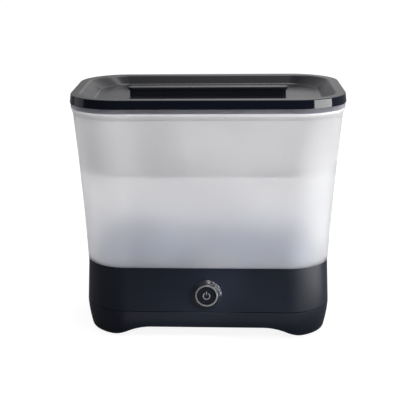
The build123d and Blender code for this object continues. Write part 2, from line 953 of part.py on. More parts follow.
def lid_shell():
    """Lid: glossy band, flat rim, dished middle, plug skirt and steam vents."""
    body = loft(
        [
            outline(lid_width, lid_corner, tub_height),
            outline(lid_width, lid_corner, lid_height, band_draft),
        ],
        ruled=True,
    )
    body = fillet(body.faces().sort_by(Axis.Z)[-1].edges(), band_round)
    body = fillet(body.faces().sort_by(Axis.Z)[0].edges(), band_edge)
    body += block(rim_width, rim_corner, rim_height, tub_height, plug_inset)
    body -= recess(0, 0)
    body = fillet(body.faces().sort_by(Axis.Z)[-1].inner_wires()[0].edges(), rim_round)
    under = lid_height - lid_wall
    hollow = block(rim_width, rim_corner, rim_height - 1, under, plug_inset + plug_wall)
    body -= hollow - recess(lid_wall, recess_wall)
    groove = block(lid_width, lid_corner, tub_height - 1, under, band_wall)
    groove -= block(rim_width, rim_corner, rim_height, under + 1, plug_inset)
    body -= groove
    for x in (-grip_screw_x, 0, grip_screw_x):
        body -= rod_z(screw_hole, lid_floor - 1, recess_floor + 1, x, 0)
    long_half, short_half = vent_length / 2, vent_width / 2
    for i in range(vent_count):
        x = (i - (vent_count - 1) / 2) * vent_pitch
        low, high = vent_y - short_half, vent_y + short_half
        body -= box(x - long_half, x + long_half, low, high, lid_floor - 1, recess_floor + 1)
    return body


def lid_grip():
    """Handle bar in the dish: a rounded top plate on a narrower hollow body."""
    under = 2 * grip_undercut
    body_width, body_depth = grip_width - under, grip_depth - under
    plate = RectangleRounded(grip_width, grip_depth, grip_corner)
    foot = RectangleRounded(body_width, body_depth, grip_corner - grip_undercut)
    room = RectangleRounded(body_width - under, grip_room, grip_room / 3)
    top = extrude(Pos(0, 0, grip_foot) * plate, amount=grip_plate)
    top = fillet(top.edges().group_by(Axis.Z)[-1] + top.edges().group_by(Axis.Z)[0], grip_round)
    grip = top + extrude(Pos(0, 0, recess_floor) * foot, amount=grip_foot - recess_floor)
    grip -= extrude(Pos(0, 0, recess_floor - 1) * room, amount=grip_foot - recess_floor + 1)
    for x in (-grip_screw_x, 0, grip_screw_x):
        grip += rod_z(grip_boss, recess_floor, grip_foot, x, 0)
        grip -= rod_z(screw_radius, recess_floor - 1, grip_foot + grip_screw_gap, x, 0)
    return grip


def grip_screws():
    return [screw_up(x, 0, lid_floor, grip_foot) for x in (-grip_screw_x, 0, grip_screw_x)]


def save(name, shape):
    """One STEP file for each named piece or group of like pieces."""
    solids = shape if isinstance(shape, list) else [shape]
    pieces = [solid for item in solids for solid in item.solids()]
    whole = pieces[0] if len(pieces) == 1 else Compound(children=pieces)
    export_step(whole, f"parts/{name}.step")


os.makedirs("parts", exist_ok=True)
makers = [
    base_housing,
    bottom_cover,
    foot_pads,
    case_screws,
    heater_dish,
    dish_seal,
    heat_spreader,
    heating_element,
    heater_bracket,
    bracket_screws,
    thermostat,
    thermal_fuse,
    button_collar,
    button_ring,
    button_cap,
    button_spring,
    control_board,
    board_screws,
    tact_switch,
    indicator_led,
    relay,
    capacitor,
    board_connector,
    terminal_block,
    cord_gland,
    mains_wires,
    element_wires,
    tub,
    rack_tray,
    bottle_pegs,
    upper_tray,
    lid_shell,
    lid_grip,
    grip_screws,
]
for make in makers:
    save(make.__name__, make())
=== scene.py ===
# %% [markdown]
# # An electric steam sterilizer, dressed
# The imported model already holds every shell, rack, screw and wire at its real size. This lesson
# gives those pieces their finishes, adds four forms that the model lacks or only outlines, and
# lights the whole thing like a product picture. The four are the gently rising ends of the lid's
# dish, a printed sign, a coiled spring and a guide plate for the bottles. Everything is in
# metres. The front of the object looks to -Y, X runs to the right along the front, and Z points
# up.

# %% Load the frame
import math

import bmesh
import bpy
from mathutils import Matrix, Vector


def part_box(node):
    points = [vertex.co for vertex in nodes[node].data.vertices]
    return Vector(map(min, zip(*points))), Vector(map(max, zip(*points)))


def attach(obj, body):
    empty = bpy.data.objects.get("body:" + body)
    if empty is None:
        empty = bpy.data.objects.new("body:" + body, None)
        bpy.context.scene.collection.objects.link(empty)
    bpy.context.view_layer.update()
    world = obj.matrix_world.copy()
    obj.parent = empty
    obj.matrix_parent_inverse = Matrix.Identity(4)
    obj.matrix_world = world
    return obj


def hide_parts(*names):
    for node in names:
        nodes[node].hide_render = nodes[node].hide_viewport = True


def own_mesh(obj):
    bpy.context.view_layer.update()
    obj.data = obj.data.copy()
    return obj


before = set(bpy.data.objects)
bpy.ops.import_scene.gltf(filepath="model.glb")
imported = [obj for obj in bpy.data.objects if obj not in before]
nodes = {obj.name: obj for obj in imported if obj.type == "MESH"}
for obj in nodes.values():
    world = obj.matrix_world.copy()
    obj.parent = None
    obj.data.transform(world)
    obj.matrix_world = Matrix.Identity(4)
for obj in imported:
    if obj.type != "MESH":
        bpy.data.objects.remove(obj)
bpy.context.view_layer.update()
print("CAD nodes:", len(nodes))

# %% [markdown]
# ## Camera
# A product picture is taken from a few steps back with a longish lens, so that upright edges stay
# nearly parallel. The camera is built from a distance, a height and three small angles. A matrix
# is made from the camera's own right, up and back directions, which is exact where Euler angles
# would need their order remembered.

# %% Place the camera
CAMERA_DISTANCE = 1.24897
CAMERA_HEIGHT = 0.49775
CAMERA_ASIDE = -0.06036
LOOK_DOWN = math.radians(15.87)
TURN = math.radians(3.78)
ROLL = math.radians(-0.83)
SENSOR = 36.0
LENS = 88.01
SIDE_SHIFT = 0.1141


def new_object(name, data):
    """Object in the scene for a mesh, a lamp or a camera."""
    made = bpy.data.objects.new(name, data)
    bpy.context.scene.collection.objects.link(made)
    return made


def camera_matrix():
    """World matrix of a camera in front of the object, turned, tilted down and rolled."""
    turn = Matrix.Rotation(TURN, 3, "Z")
    right = turn @ Vector((1, 0, 0))
    forward = turn @ Vector((0, math.cos(LOOK_DOWN), -math.sin(LOOK_DOWN)))
    up = right.cross(forward)
    rolled_right = right * math.cos(ROLL) + up * math.sin(ROLL)
    rolled_up = up * math.cos(ROLL) - right * math.sin(ROLL)
    matrix = Matrix((rolled_right, rolled_up, -forward)).transposed().to_4x4()
    matrix.translation = turn @ Vector((CAMERA_ASIDE, -CAMERA_DISTANCE, CAMERA_HEIGHT))
    return matrix


camera_data = bpy.data.cameras.new("camera")
camera_data.sensor_width = SENSOR
camera_data.lens = LENS
camera_data.shift_x = SIDE_SHIFT
camera = new_object("camera", camera_data)
camera.matrix_world = camera_matrix()
bpy.context.scene.camera = camera
bpy.context.scene.view_settings.view_transform = "Standard"
print("camera at", [round(v, 3) for v in camera.location])

# %% [markdown]
# ## Floor
# The floor is a plain pale sheet that keeps the object's soft shadow. Where the camera sees it
# straight it is lifted towards white, so the picture has a clean ground. For every other ray it
# is a mid grey, so it doesn't throw more light on the object than a table would. A Light Path
# node tells the two kinds of ray apart.

# %% Floor
FLOOR_HALF = 6.0
FLOOR_GLOW = 1.2
GLOW_SHARE = 0.74
FLOOR_GREY = (0.22, 0.22, 0.23)
FLOOR_PALE = (0.85, 0.85, 0.85)
FLOOR_ROUGHNESS = 0.9
FLOOR_SPECULAR = 0.1
WHITE = (1, 1, 1, 1)
# A Mix node has sockets for numbers, vectors and colours. These are the ones for colours.
MIX_A, MIX_B, MIX_RESULT = 6, 7, 2


def link(tree, start, end):
    """Join an output socket to an input socket."""
    tree.links.new(start, end)


def new_material(name):
    """Material with its node tree and its shader."""
    material = bpy.data.materials.new(name)
    material.use_nodes = True
    tree = material.node_tree
    return material, tree, tree.nodes["Principled BSDF"]


def mixed_colour(tree, share, first, second):
    """Colour between two, by a share that runs from 0 to 1."""
    node = tree.nodes.new("ShaderNodeMix")
    node.data_type = "RGBA"
    node.inputs[MIX_A].default_value = (*first, 1)
    node.inputs[MIX_B].default_value = (*second, 1)
    link(tree, share, node.inputs[0])
    return node.outputs[MIX_RESULT]


def mixed_surface(tree, first, second):
    """Mix two shaders into the surface and return the socket for the second one's share."""
    node = tree.nodes.new("ShaderNodeMixShader")
    link(tree, first, node.inputs[1])
    link(tree, second, node.inputs[2])
    link(tree, node.outputs[0], tree.nodes["Material Output"].inputs["Surface"])
    return node.inputs[0]


def seen_straight(tree):
    """1 for rays from the camera, also where they come through clear plastic."""
    path = tree.nodes.new("ShaderNodeLightPath")
    seen = tree.nodes.new("ShaderNodeMath")
    seen.operation = "MAXIMUM"
    link(tree, path.outputs["Is Camera Ray"], seen.inputs[0])
    link(tree, path.outputs["Is Transmission Ray"], seen.inputs[1])
    return seen.outputs[0]


def floor_material():
    """Pale sheet that glows a little where the camera sees it, and is grey for other light."""
    material, tree, shader = new_material("pale_floor")
    shader.inputs["Roughness"].default_value = FLOOR_ROUGHNESS
    shader.inputs["Specular IOR Level"].default_value = FLOOR_SPECULAR
    seen = seen_straight(tree)
    shade = mixed_colour(tree, seen, FLOOR_GREY, FLOOR_PALE)
    link(tree, shade, shader.inputs["Base Color"])
    glow = tree.nodes.new("ShaderNodeEmission")
    glow.inputs["Color"].default_value = WHITE
    glow.inputs["Strength"].default_value = FLOOR_GLOW
    share = tree.nodes.new("ShaderNodeMath")
    share.operation = "MULTIPLY"
    share.inputs[1].default_value = GLOW_SHARE
    link(tree, seen, share.inputs[0])
    link(tree, share.outputs[0], mixed_surface(tree, shader.outputs[0], glow.outputs[0]))
    return material


def make_floor():
    """Flat square under the object, which belongs to the picture and not to the model."""
    mesh = bpy.data.meshes.new("floor")
    bm = bmesh.new()
    bmesh.ops.create_grid(bm, x_segments=1, y_segments=1, size=FLOOR_HALF)
    bm.to_mesh(mesh)
    bm.free()
    mesh.materials.append(floor_material())
    floor = new_object("floor", mesh)


make_floor()
print("floor of", 2 * FLOOR_HALF, "m")

# %% [markdown]
# ## Lamps
# Gloss plastic is a mirror first and a colour second, so its look is made by what stands round
# it. A slim panel at the right, at the height of the lid, draws one hard-edged stripe on the
# lid's front right corner: the band leans back a little and so mirrors what stands level with it.
# A weak panel at the left keeps that side from going black, and the lamp overhead lights the
# frosted plastic. Two sheets of light lie on the floor and stand for the pale table: a wide one
# at the right and a narrow one close in front. The camera sees none of the lamps, only their
# light and their mirror images.

# %% Lamps
MIDDLE = (0, 0, 0.15)
LID_RIGHT, LID_LEFT = (0.14, -0.04, 0.28), (-0.14, -0.04, 0.28)
# Each panel has a name, a place, a target, a width, a height and its watts.
PANELS = (
    ("panel_right", (1.19, -0.63, 0.30), LID_RIGHT, 1.04, 0.27, 7.4),
    ("panel_left", (-1.5, 0.25, 0.35), LID_LEFT, 0.9, 0.6, 0.65),
    ("top", (0.20, 0.15, 1.6), MIDDLE, 1.2, 0.8, 8),
)
# Each sheet has a name, a place on the floor, a width, a depth and its watts.
SHEETS = (
    ("bounce_right", (0.60, -0.40), 0.56, 0.8, 7.6),
    ("bounce_front", (0.04, -0.135), 0.30, 0.05, 0.022),
)
SHEET_HEIGHT = 0.004
SHEET_AIM = 1.0


def soft_lamp(name, place, target, width, height, watts):
    """Rectangular lamp at a place, turned to a target and hidden from the camera."""
    data = bpy.data.lights.new(name, "AREA")
    data.shape = "RECTANGLE"
    data.size = width
    data.size_y = height
    data.energy = watts
    lamp = new_object(name, data)
    direction = Vector(target) - Vector(place)
    turn = direction.to_track_quat("-Z", "Y").to_matrix().to_4x4()
    lamp.matrix_world = Matrix.Translation(place) @ turn
    lamp.visible_camera = False
    return lamp


for panel in PANELS:
    soft_lamp(*panel)
for name, spot, *size_and_watts in SHEETS:
    soft_lamp(name, (*spot, SHEET_HEIGHT), (*spot, SHEET_AIM), *size_and_watts)
print("big lamps:", len(PANELS) + len(SHEETS))

# %% [markdown]
# ## Glints on the button
# The steps round the button have rounded edges, and a rounded edge in gloss plastic mirrors a
# small part of the room as a thin bright line. Five tiny lamps give that line its light. Each
# stands where a mirror at its point of the edge would need it, so its place is worked out from
# the edge's slope and the direction to the camera. A narrow spread keeps their light off
# everything else.

# %% Glints on the button
BUTTON_Y = -0.092
TO_CAMERA = Vector((0, -0.96, 0.27)).normalized()
GLINT_SLANT = math.radians(50)
GLINT_CLOCKS = (8, 27, 46, 65, 84)
GLINT_DISTANCE = 0.2
GLINT_SIZE = 0.03
GLINT_SPREAD = math.radians(24)
GLINT_WATTS = 0.004
cap_low, cap_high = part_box("button_cap")
button = Vector((0, BUTTON_Y, (cap_low.z + cap_high.z) / 2))


def button_glint(name, clock):
    """Narrow lamp whose light one point of the button's rounded steps throws to the camera."""
    outward = Vector((math.sin(clock), 0, math.cos(clock)))
    normal = outward * math.cos(GLINT_SLANT) - Vector((0, math.sin(GLINT_SLANT), 0))
    aim = 2 * normal.dot(TO_CAMERA) * normal - TO_CAMERA
    place = button + aim * GLINT_DISTANCE
    lamp = soft_lamp(name, place, button, GLINT_SIZE, GLINT_SIZE, GLINT_WATTS)
    lamp.data.spread = GLINT_SPREAD


for number, clock in enumerate(GLINT_CLOCKS):
    button_glint(f"glint_{number}", math.radians(clock))
print("small lamps:", len(GLINT_CLOCKS), "round a button", round(button.z, 4), "m up")

# %% [markdown]
# ## World
# The flat top of the lid mirrors the world behind it, some sixteen degrees above the horizon.
# Ramps along the axes of the ray's direction set that light: dim in front, brighter behind and
# above, and near the horizon brighter towards the right. Where the camera looks straight at it
# the world is white.

# %% World
# Each ramp has an axis, the stretch of it that the ramp covers, and its value at both ends.
BACK = ("Y", -0.2, 0.7, 0.06, 0.27)
UP = ("Z", 0.1, 0.8, 0.0, 0.4)
SIDES = (("X", -0.17, 0.03, 0.0, 0.58), ("X", 0.05, 0.14, 0.0, -0.20))
NEAR_HORIZON = ("Z", 0.06, 0.25, 0.0, 1.0)


def ramp(tree, split, axis, low, high, start, end):
    """Value that runs from start to end while a direction's axis runs from low to high."""
    node = tree.nodes.new("ShaderNodeMapRange")
    for name, value in zip(("From Min", "From Max", "To Min", "To Max"), (low, high, start, end)):
        node.inputs[name].default_value = value
    link(tree, split.outputs[axis], node.inputs["Value"])
    return node.outputs[0]


def maths(tree, operation, first, second):
    """Sum, product or larger of two values."""
    node = tree.nodes.new("ShaderNodeMath")
    node.operation = operation
    link(tree, first, node.inputs[0])
    link(tree, second, node.inputs[1])
    return node.outputs[0]


def make_world():
    """White for the camera; else dim in front, brighter behind and above."""
    world = bpy.data.worlds.new("studio")
    bpy.context.scene.world = world
    world.use_nodes = True
    tree = world.node_tree
    background = tree.nodes["Background"]
    coord = tree.nodes.new("ShaderNodeTexCoord")
    split = tree.nodes.new("ShaderNodeSeparateXYZ")
    link(tree, coord.outputs["Generated"], split.inputs[0])
    sideways = maths(tree, "ADD", *[ramp(tree, split, *side) for side in SIDES])
    sideways = maths(tree, "MULTIPLY", sideways, ramp(tree, split, *NEAR_HORIZON))
    level = maths(tree, "ADD", ramp(tree, split, *BACK), ramp(tree, split, *UP))
    level = maths(tree, "ADD", level, sideways)
    level = maths(tree, "MAXIMUM", level, seen_straight(tree))
    background.inputs["Color"].default_value = WHITE
    link(tree, level, background.inputs["Strength"])
    return tree


print("world made of", len(make_world().nodes), "shader nodes")

# %% [markdown]
# ## Moulded plastics
# Injection-moulded plastic is never one flat value: the mould's spark-eroded skin gives a fine
# grain, and the gloss drifts a little over a wide face. Each finish below is one shader, with a
# broad noise that shifts colour and roughness a few percent and a fine noise that drives a small
# bump. The patterns read Object coordinates, so they stay put on the piece when it moves. A noise
# seldom leaves the middle of its range, so drift stretches that middle over its two ends.

# %% Moulded finish
BROAD_WAVES = 14.0
GRAIN_DETAIL = 3.0
NOISE_LOW, NOISE_HIGH = 0.3, 0.7
DARKER, LIGHTER = 0.92, 1.08


def add(tree, kind, **values):
    """New node with its sockets set by name."""
    node = tree.nodes.new(kind)
    for name, value in values.items():
        node.inputs[name.replace("_", " ")].default_value = value
    return node


def noise(tree, scale, detail=2.0):
    """Noise on Object coordinates; scale is in waves per metre."""
    texture = add(tree, "ShaderNodeTexNoise", Scale=scale, Detail=detail)
    coord = tree.nodes.new("ShaderNodeTexCoord")
    link(tree, coord.outputs["Object"], texture.inputs["Vector"])
    return texture.outputs["Fac"]


def drift(tree, source, low, high):
    """Value that drifts between low and high with a noise."""
    ends = {"From_Min": NOISE_LOW, "From_Max": NOISE_HIGH, "To_Min": low, "To_Max": high}
    node = add(tree, "ShaderNodeMapRange", **ends)
    link(tree, source, node.inputs["Value"])
    return node.outputs[0]


def moulded(name, colour, roughness, spread=0.04, grain=1200.0, depth=0.00002, **constants):
    """Plastic or coated finish: drifting colour and roughness, with a fine grain."""
    material, tree, shader = new_material(name)
    broad = noise(tree, BROAD_WAVES)
    dark, light = [c * DARKER for c in colour], [c * LIGHTER for c in colour]
    shade = mixed_colour(tree, drift(tree, broad, 0.0, 1.0), dark, light)
    link(tree, shade, shader.inputs["Base Color"])
    gloss = drift(tree, broad, roughness - spread, roughness + spread)
    link(tree, gloss, shader.inputs["Roughness"])
    bump = add(tree, "ShaderNodeBump", Strength=1.0, Distance=depth)
    link(tree, noise(tree, grain, GRAIN_DETAIL), bump.inputs["Height"])
    link(tree, bump.outputs[0], shader.inputs["Normal"])
    for socket, value in constants.items():
        shader.inputs[socket.replace("_", " ")].default_value = value
    return material


def paint(material, *names):
    """Give a finish to CAD nodes."""
    for name in names:
        mesh = nodes[name].data
        mesh.materials.clear()
        mesh.materials.append(material)
        for polygon in mesh.polygons:
            polygon.material_index = 0


DARK = (0.0050, 0.0084, 0.0182)
base_plastic = moulded("base_plastic", DARK, 0.42, Specular_IOR_Level=0.40)
paint(base_plastic, "base_housing", "bottom_cover")
print("one finish takes", len(base_plastic.node_tree.nodes), "shader nodes")

# %% [markdown]
# ## Outer plastics
# The base just got a dark blue-grey with a matt skin. The lid is nearly black and smoother, and
# its upright band is glossy. The collar round the button is matt too, but the rounded edges of
# its steps are polished, which draws thin bright lines. They are picked by how far their faces
# look forward: more than a side does, and less than a flat front. The drain rack is nearly white,
# which throws light up through the tub, and its pegs are blue, so that they colour what shows of
# it.

# %% Outer plastics
SIDE_FACING, FRONT_FACING = 0.1, 0.97


def repaint(mesh, material, chosen):
    """Give one more finish to the chosen faces of a mesh."""
    mesh.materials.append(material)
    faces = [polygon for polygon in mesh.polygons if chosen(polygon)]
    for polygon in faces:
        polygon.material_index = len(mesh.materials) - 1
    print(material.name, "on", len(faces), "faces")


def on_step(polygon):
    """True for the rounded edges of the button's steps."""
    return SIDE_FACING < -polygon.normal.y < FRONT_FACING


lid_plastic = moulded(
    "lid_plastic", (0.0075, 0.0080, 0.0140), 0.24, grain=1500.0, depth=0.000006
)
band_plastic = moulded(
    "band_plastic", (0.0045, 0.0058, 0.0130), 0.07, spread=0.01, depth=0.000002
)
grip_plastic = moulded(
    "grip_plastic", (0.016, 0.0175, 0.025), 0.28, depth=0.00001, Specular_IOR_Level=0.32
)
cap_plastic = moulded(
    "cap_plastic", (0.005, 0.006, 0.010), 0.30, depth=0.00001, Specular_IOR_Level=0.25
)
collar_plastic = moulded(
    "collar_plastic", (0.004, 0.006, 0.011), 0.38, depth=0.00001, Specular_IOR_Level=0.3
)
collar_edge = moulded("collar_edge", (0.004, 0.006, 0.013), 0.24, depth=0.000002, IOR=2.2)
rack_plastic = moulded("rack_plastic", (0.84, 0.88, 0.95), 0.5)
peg_plastic = moulded("peg_plastic", (0.10, 0.18, 0.44), 0.5)
paint(collar_plastic, "button_collar")
repaint(nodes["button_collar"].data, collar_edge, on_step)
paint(grip_plastic, "lid_grip")
paint(cap_plastic, "button_cap")
paint(rack_plastic, "rack_tray")
paint(peg_plastic, "bottle_pegs")

# %% [markdown]
# ## Plastics and rubber of the base
# Parts inside the base have the usual colours of their trade: a green board, a blue relay, pale
# housings for lamp and terminals, black ones for switches, brown and blue for the two wires of a
# lead. The feet and the gland are soft rubber with a coarser, dull skin. The water dish has a
# dark non-stick coating, and its seal is silicone.

# %% Plastics and rubber of the base
black_plastic = moulded("black_plastic", (0.012, 0.012, 0.013), 0.4)
pale_plastic = moulded("pale_plastic", (0.72, 0.72, 0.69), 0.45)
relay_plastic = moulded("relay_plastic", (0.02, 0.06, 0.25), 0.35)
board_laminate = moulded("board_laminate", (0.010, 0.085, 0.035), 0.35, grain=600.0)
soft_rubber = moulded("soft_rubber", (0.016, 0.016, 0.017), 0.8, grain=900.0, depth=0.00005)
silicone = moulded("silicone", (0.55, 0.55, 0.54), 0.55)
dish_coating = moulded("dish_coating", (0.020, 0.021, 0.025), 0.38, grain=700.0, depth=0.00004)
wire_brown = moulded("wire_brown", (0.12, 0.04, 0.015), 0.5)
wire_blue = moulded("wire_blue", (0.02, 0.07, 0.35), 0.5)
paint(black_plastic, "thermostat", "tact_switch", "capacitor")
paint(pale_plastic, "indicator_led", "board_connector", "terminal_block")
paint(relay_plastic, "relay")
paint(board_laminate, "control_board")
paint(soft_rubber, "foot_pads", "cord_gland")
paint(silicone, "dish_seal")
paint(dish_coating, "heater_dish")
paint(wire_brown, "mains_wires")
paint(wire_blue, "element_wires")
print("finishes so far:", len(bpy.data.materials))

# %% [markdown]
# ## Metals
# Plated screws, the fuse and the bracket are bright and slightly brushed. The trim ring of the
# button is a satin bright metal on its flat front. Its rounded edge has a dark copy of that
# metal, which is painted shade, so that the ring reads as a thin line. The heating rod has been
# hot, so it is darker. The plate that spreads its heat is cast, with a coarse grain.

# %% Metals
steel = moulded("steel", (0.58, 0.58, 0.60), 0.32, grain=800.0, Metallic=1.0)
cast_alloy = moulded(
    "cast_alloy", (0.62, 0.63, 0.64), 0.45, grain=500.0, depth=0.00005, Metallic=1.0
)
bright_trim = moulded("bright_trim", (0.50, 0.51, 0.54), 0.42, spread=0.03, Metallic=1.0)
# The ring's rounded edge is a dark copy of the trim metal: painted shade on the edge.
ring_edge_shade = moulded("ring_edge_shade", (0.10, 0.10, 0.11), 0.35, depth=0.000002, Metallic=1.0)
element_sheath = moulded("element_sheath", (0.20, 0.18, 0.16), 0.42, Metallic=1.0)
paint(steel, "case_screws", "bracket_screws", "board_screws", "grip_screws")
paint(steel, "heater_bracket", "thermal_fuse")
paint(cast_alloy, "heat_spreader")
paint(bright_trim, "button_ring")
repaint(nodes["button_ring"].data, ring_edge_shade, on_step)
paint(element_sheath, "heating_element")

# %% [markdown]
# ## Frosted plastic
# The tub and the upper tray are milky polypropylene. Light goes through, but it is scattered, so
# what stands close behind the wall shows as a soft shadow and what is further off disappears. A
# rough transmission gives that blur, and a translucent share adds the light that the milk
# scatters. The rim lies tight round the lid's skirt, so it is less rough and shows the skirt as a
# crisp dark strip. Its colour is also a darker, bluer copy of the tub's, which is painted shade
# for the shadow under the lid. The step below the rim has a faint glow of its own, a painted
# highlight that stands for light running down inside the wall and leaving there. The tray is thin
# and nearly clear.

# %% Frosted plastic
RIM_DEPTH = 0.0055
STEP_TOP_DEPTH, STEP_LOW_DEPTH = 0.0056, 0.0084
# An emission on the step below the rim: a painted highlight.
STEP_PAINTED_GLOW = {"Emission_Color": WHITE, "Emission_Strength": 0.09}


def frosted(name, colour, clear, roughness, milk, **constants):
    """See-through plastic; clear is the share that goes through, milk the share it scatters."""
    constants["Transmission_Weight"] = clear
    material = moulded(name, colour, roughness, spread=0.02, grain=900.0, **constants)
    tree = material.node_tree
    scatter = add(tree, "ShaderNodeBsdfTranslucent", Color=(*colour, 1))
    shader = tree.nodes["Principled BSDF"]
    mixed_surface(tree, shader.outputs[0], scatter.outputs[0]).default_value = milk
    return material


def at_depth(top, least, most):
    """Test for faces that lie between two depths under the top of a piece."""
    return lambda polygon: least < top - polygon.center.z < most


tub_walls = frosted("tub_walls", (0.951, 0.949, 0.957), 0.90, 0.5, 0.22, IOR=1.35)
# The rim's darker, bluer colour is painted shade under the lid.
shaded_tub_rim = frosted("shaded_tub_rim", (0.85, 0.85, 0.91), 0.90, 0.26, 0.34, IOR=1.2)
# The step's glow is a painted highlight, not a lamp.
tub_step_painted_glow = frosted("tub_step_painted_glow", (0.95, 0.95, 0.96), 0.60, 0.5, 0.3, **STEP_PAINTED_GLOW)
tray_walls = frosted("tray_walls", (0.99, 0.99, 0.992), 0.99, 0.3, 0.0, IOR=1.1)
paint(tub_walls, "tub")
tub_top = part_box("tub")[1].z
repaint(nodes["tub"].data, shaded_tub_rim, at_depth(tub_top, -math.inf, RIM_DEPTH))
repaint(nodes["tub"].data, tub_step_painted_glow, at_depth(tub_top, STEP_TOP_DEPTH, STEP_LOW_DEPTH))
paint(tray_walls, "upper_tray")

# %% [markdown]
# ## Lid with eased ends
# On the real lid the dish is not equally steep all round: its two ends rise gently, so that
# fingers slide under the bar. The CAD keeps one slope, which is right for its long sides. The
# shell could be modelled anew, but only points of its dish have to move, so they are found by
# their place. The outline is a rectangle with round corners, and the distance inwards from it
# tells the dish from the rim. The same distance finds the faces of the upright band, which is
# glossy. The grip bar stands on the dish's floor, so the foot of its box tells that height.

# %% Where the dish and the band lie
LID_CORNER = 0.060
DISH_INSET = 0.0109
WALL_LEAN = 0.0056 / 0.0123  # metres inwards for each metre down
SLACK = 0.0002
UPRIGHT = 0.8
BAND_INSET = 0.0022
BAND_HEIGHT = 0.0112
lid_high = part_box("lid_shell")[1]
dish_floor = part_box("lid_grip")[0].z


def inset_of(x, y):
    """Distance inwards from the lid's outline, a rectangle with round corners."""
    dx = abs(x) - (lid_high.x - LID_CORNER)
    dy = abs(y) - (lid_high.y - LID_CORNER)
    if dx > 0 and dy > 0:
        return LID_CORNER - math.hypot(dx, dy)
    return LID_CORNER - max(dx, dy)


def in_dish(co):
    """True for points of the dish's own skin, not for those on the underside."""
    if co.z < dish_floor - SLACK:
        return False
    return inset_of(co.x, co.y) > DISH_INSET + WALL_LEAN * (lid_high.z - co.z)


def on_band(polygon):
    """True for faces of the band: upright, turned outwards and near the lid's outline."""
    x, y, z = polygon.center
    normal = polygon.normal
    if abs(normal.z) > UPRIGHT or normal.x * x + normal.y * y < 0:
        return False
    return inset_of(x, y) < BAND_INSET and z > lid_high.z - BAND_HEIGHT


print("lid reaches", [round(v, 4) for v in lid_high], "and its dish", round(dish_floor, 4))

# %% [markdown]
# The shell is copied and its split points are merged. Then the points of the dish near each end
# slide inwards, the more the deeper they lie. That is a shear, so walls stay smooth. Sharp edges
# are marked by angle, and a Weighted Normal modifier keeps the flat faces flat.

# %% Eased lid
EASE = 0.009
EASE_FROM, EASE_TO = 0.096, 0.136
MERGE_DISTANCE = 0.000002
SHARP = math.radians(30)


def ease(co):
    """Slide a point of the dish inwards along X."""
    share = min(max((abs(co.x) - EASE_FROM) / (EASE_TO - EASE_FROM), 0), 1)
    share = share * share * (3 - 2 * share)
    deep = (lid_high.z - co.z) / (lid_high.z - dish_floor)
    co.x -= math.copysign(EASE * share * deep, co.x)


def eased_lid():
    """Copy of the lid's shell with eased ends, which stands for that shell."""
    bm = bmesh.new()
    bm.from_mesh(nodes["lid_shell"].data)
    bmesh.ops.remove_doubles(bm, verts=bm.verts, dist=MERGE_DISTANCE)
    moved = [vert for vert in bm.verts if in_dish(vert.co)]
    for vert in moved:
        ease(vert.co)
    for face in bm.faces:
        face.smooth = True
    for edge in bm.edges:
        edge.smooth = edge.calc_face_angle(0) < SHARP
    mesh = bpy.data.meshes.new("eased_lid")
    bm.to_mesh(mesh)
    bm.free()
    mesh.materials.append(lid_plastic)
    repaint(mesh, band_plastic, on_band)
    lid = new_object("eased_lid", mesh)
    flat = lid.modifiers.new("flat_faces", "WEIGHTED_NORMAL")
    flat.keep_sharp = True
    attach(lid, "lid")
    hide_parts("lid_shell")
    print("points moved:", len(moved), "of", len(mesh.vertices))


eased_lid()

# %% [markdown]
# ## Printed power symbol
# The cap carries the usual sign for on and off: a ring that is open at the top, with a short bar
# in the gap. It is printed on a face that is hollowed like the inside of a large ball. The ring
# is a small rectangle that a spin carries through most of a turn. The bar is a flattened cube,
# cut into smaller faces so that it can bend. Then every point moves by the depth that the hollow
# has under it, so the print follows the hollow.

# %% Power symbol
SYMBOL_Y = -0.09185
HOLLOW_RADIUS = 0.11243
RING_RADIUS = 0.0040
RING_LOW = -0.0006
RING_STEPS = 48
STROKE = 0.00085
PRINT = 0.00006
GAP = math.radians(70)
BAR_LOW, BAR_HIGH = 0.0008, 0.0053
BAR_CUTS = 2
ALONG_Y = (0, 1, 0)


def new_piece(name, bm, material, body):
    """Object at the origin with its place in its mesh, riding on a body."""
    bmesh.ops.recalc_face_normals(bm, faces=bm.faces)
    mesh = bpy.data.meshes.new(name)
    bm.to_mesh(mesh)
    bm.free()
    mesh.materials.append(material)
    piece = new_object(name, mesh)
    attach(piece, body)
    print(name, "has", len(mesh.polygons), "faces")
    return piece


def add_ring(bm):
    """Open ring: a rectangle spun about Y, starting half the gap from the top."""
    centre = Vector((0, 0, RING_LOW))
    corners = []
    for radius in (RING_RADIUS - STROKE / 2, RING_RADIUS + STROKE / 2):
        for y in (PRINT, -PRINT):
            corners.append(bm.verts.new((0, y, RING_LOW + radius)))
    corners[2], corners[3] = corners[3], corners[2]
    start = bm.faces.new(corners)
    turn = Matrix.Rotation(GAP / 2, 3, "Y")
    bmesh.ops.rotate(bm, verts=corners, cent=centre, matrix=turn)
    bmesh.ops.spin(
        bm,
        geom=[start],
        cent=centre,
        axis=ALONG_Y,
        angle=math.tau - GAP,
        steps=RING_STEPS,
        use_merge=False,
    )


def add_bar(bm):
    """Upright bar in the gap."""
    made = bmesh.ops.create_cube(bm, size=1.0)["verts"]
    size = (STROKE, 2 * PRINT, BAR_HIGH - BAR_LOW)
    bmesh.ops.scale(bm, verts=made, vec=size)
    bmesh.ops.translate(bm, verts=made, vec=(0, 0, (BAR_LOW + BAR_HIGH) / 2))
    edges = list({edge for vert in made for edge in vert.link_edges})
    bmesh.ops.subdivide_edges(bm, edges=edges, cuts=BAR_CUTS, use_grid_fill=True)


